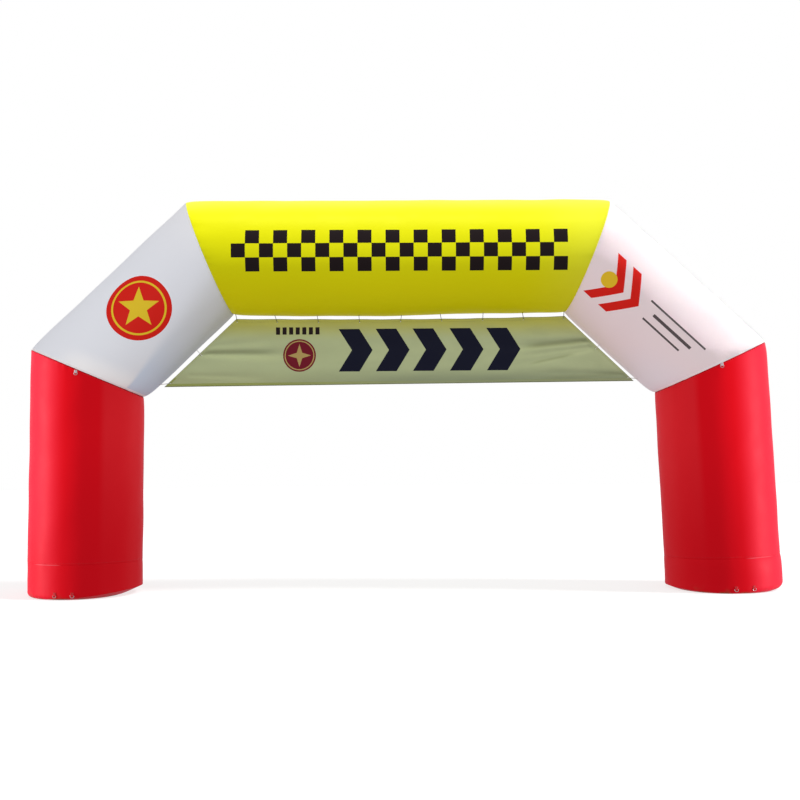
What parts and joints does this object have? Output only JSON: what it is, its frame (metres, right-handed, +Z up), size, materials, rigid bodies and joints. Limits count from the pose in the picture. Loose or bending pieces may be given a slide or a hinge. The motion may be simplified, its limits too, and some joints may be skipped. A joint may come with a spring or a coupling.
{
  "type": "inflatable arch",
  "caption": "Race arch of round air-filled sleeves: upright legs, sloping shoulders and a level crossbar, with a thin banner tied across its upper opening.",
  "frame": {"origin": "bottom centre of the bounding box, on the ground midway between the feet", "axes": "+X along the arch from its left leg to its right leg as seen from the front, +Y from front to back, +Z up"},
  "size_m": [8.0072, 1.23, 4.2267],
  "materials": {
    "red_cloth": "coated polyester cloth, satin, taut over air",
    "white_cloth": "coated polyester cloth, satin, taut over air",
    "yellow_cloth": "coated polyester cloth, satin, taut over air",
    "banner_cloth": "thin printed polyester, matt",
    "tie_cord": "twisted cord",
    "webbing": "woven polyester webbing",
    "ring_steel": "plated welded wire"
  },
  "bodies": {
    "root": {"foot_left": "red_cloth", "leg_left": "red_cloth", "shoulder_left": "white_cloth", "crossbar": "yellow_cloth", "shoulder_right": "white_cloth", "leg_right": "red_cloth", "foot_right": "red_cloth", "banner": "banner_cloth", "tie_top_1": "tie_cord", "tie_top_2": "tie_cord", "tie_top_3": "tie_cord", "tie_top_4": "tie_cord", "tie_top_5": "tie_cord", "tie_top_6": "tie_cord", "tie_top_7": "tie_cord", "tie_top_8": "tie_cord", "tie_top_9": "tie_cord", "tie_side_left": "tie_cord", "tie_side_right": "tie_cord", "tie_corner_left": "tie_cord", "tie_corner_right": "tie_cord", "tab_guy_left": "webbing", "ring_guy_left": "ring_steel", "tab_guy_right": "webbing", "ring_guy_right": "ring_steel", "tab_peg_left_outer": "webbing", "ring_peg_left_outer": "ring_steel", "tab_peg_left_inner": "webbing", "ring_peg_left_inner": "ring_steel", "tab_peg_right_outer": "webbing", "ring_peg_right_outer": "ring_steel", "tab_peg_right_inner": "webbing", "ring_peg_right_inner": "ring_steel"}
  },
  "joints": []
}
